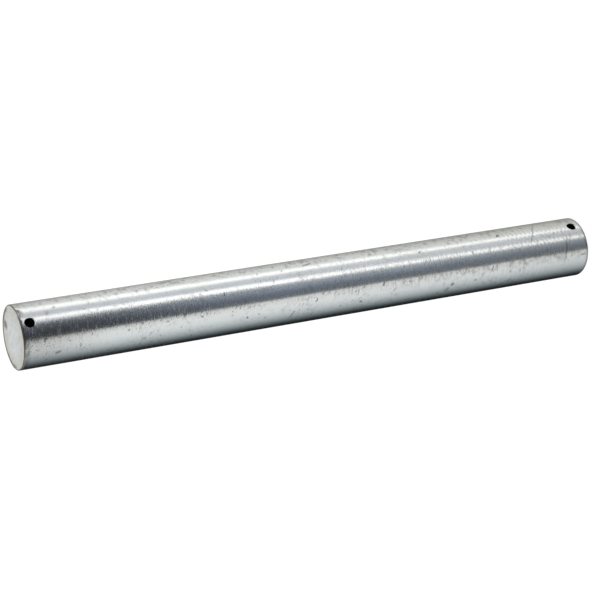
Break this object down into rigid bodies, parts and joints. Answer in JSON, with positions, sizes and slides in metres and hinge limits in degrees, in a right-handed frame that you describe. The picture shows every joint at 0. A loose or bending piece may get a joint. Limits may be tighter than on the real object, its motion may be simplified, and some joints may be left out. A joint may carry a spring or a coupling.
{
  "type": "bed frame pin",
  "caption": "Plain round steel pin, zinc plated, with a small cotter hole drilled across it near each end. Stands on its flat foot.",
  "frame": {"origin": "centre of the foot, the sawn end face that the pin stands on", "axes": "+Z along the pin's axis, from the foot to the top end; the top cotter hole runs along Y"},
  "size_m": [0.0318, 0.0318, 0.3207],
  "materials": {
    "zinc_plated_steel": "bright zinc plate over turned steel, grained, with specks and scratches; the sawn ends are dull"
  },
  "bodies": {
    "root": {"frame_pin": "zinc_plated_steel"}
  },
  "joints": []
}
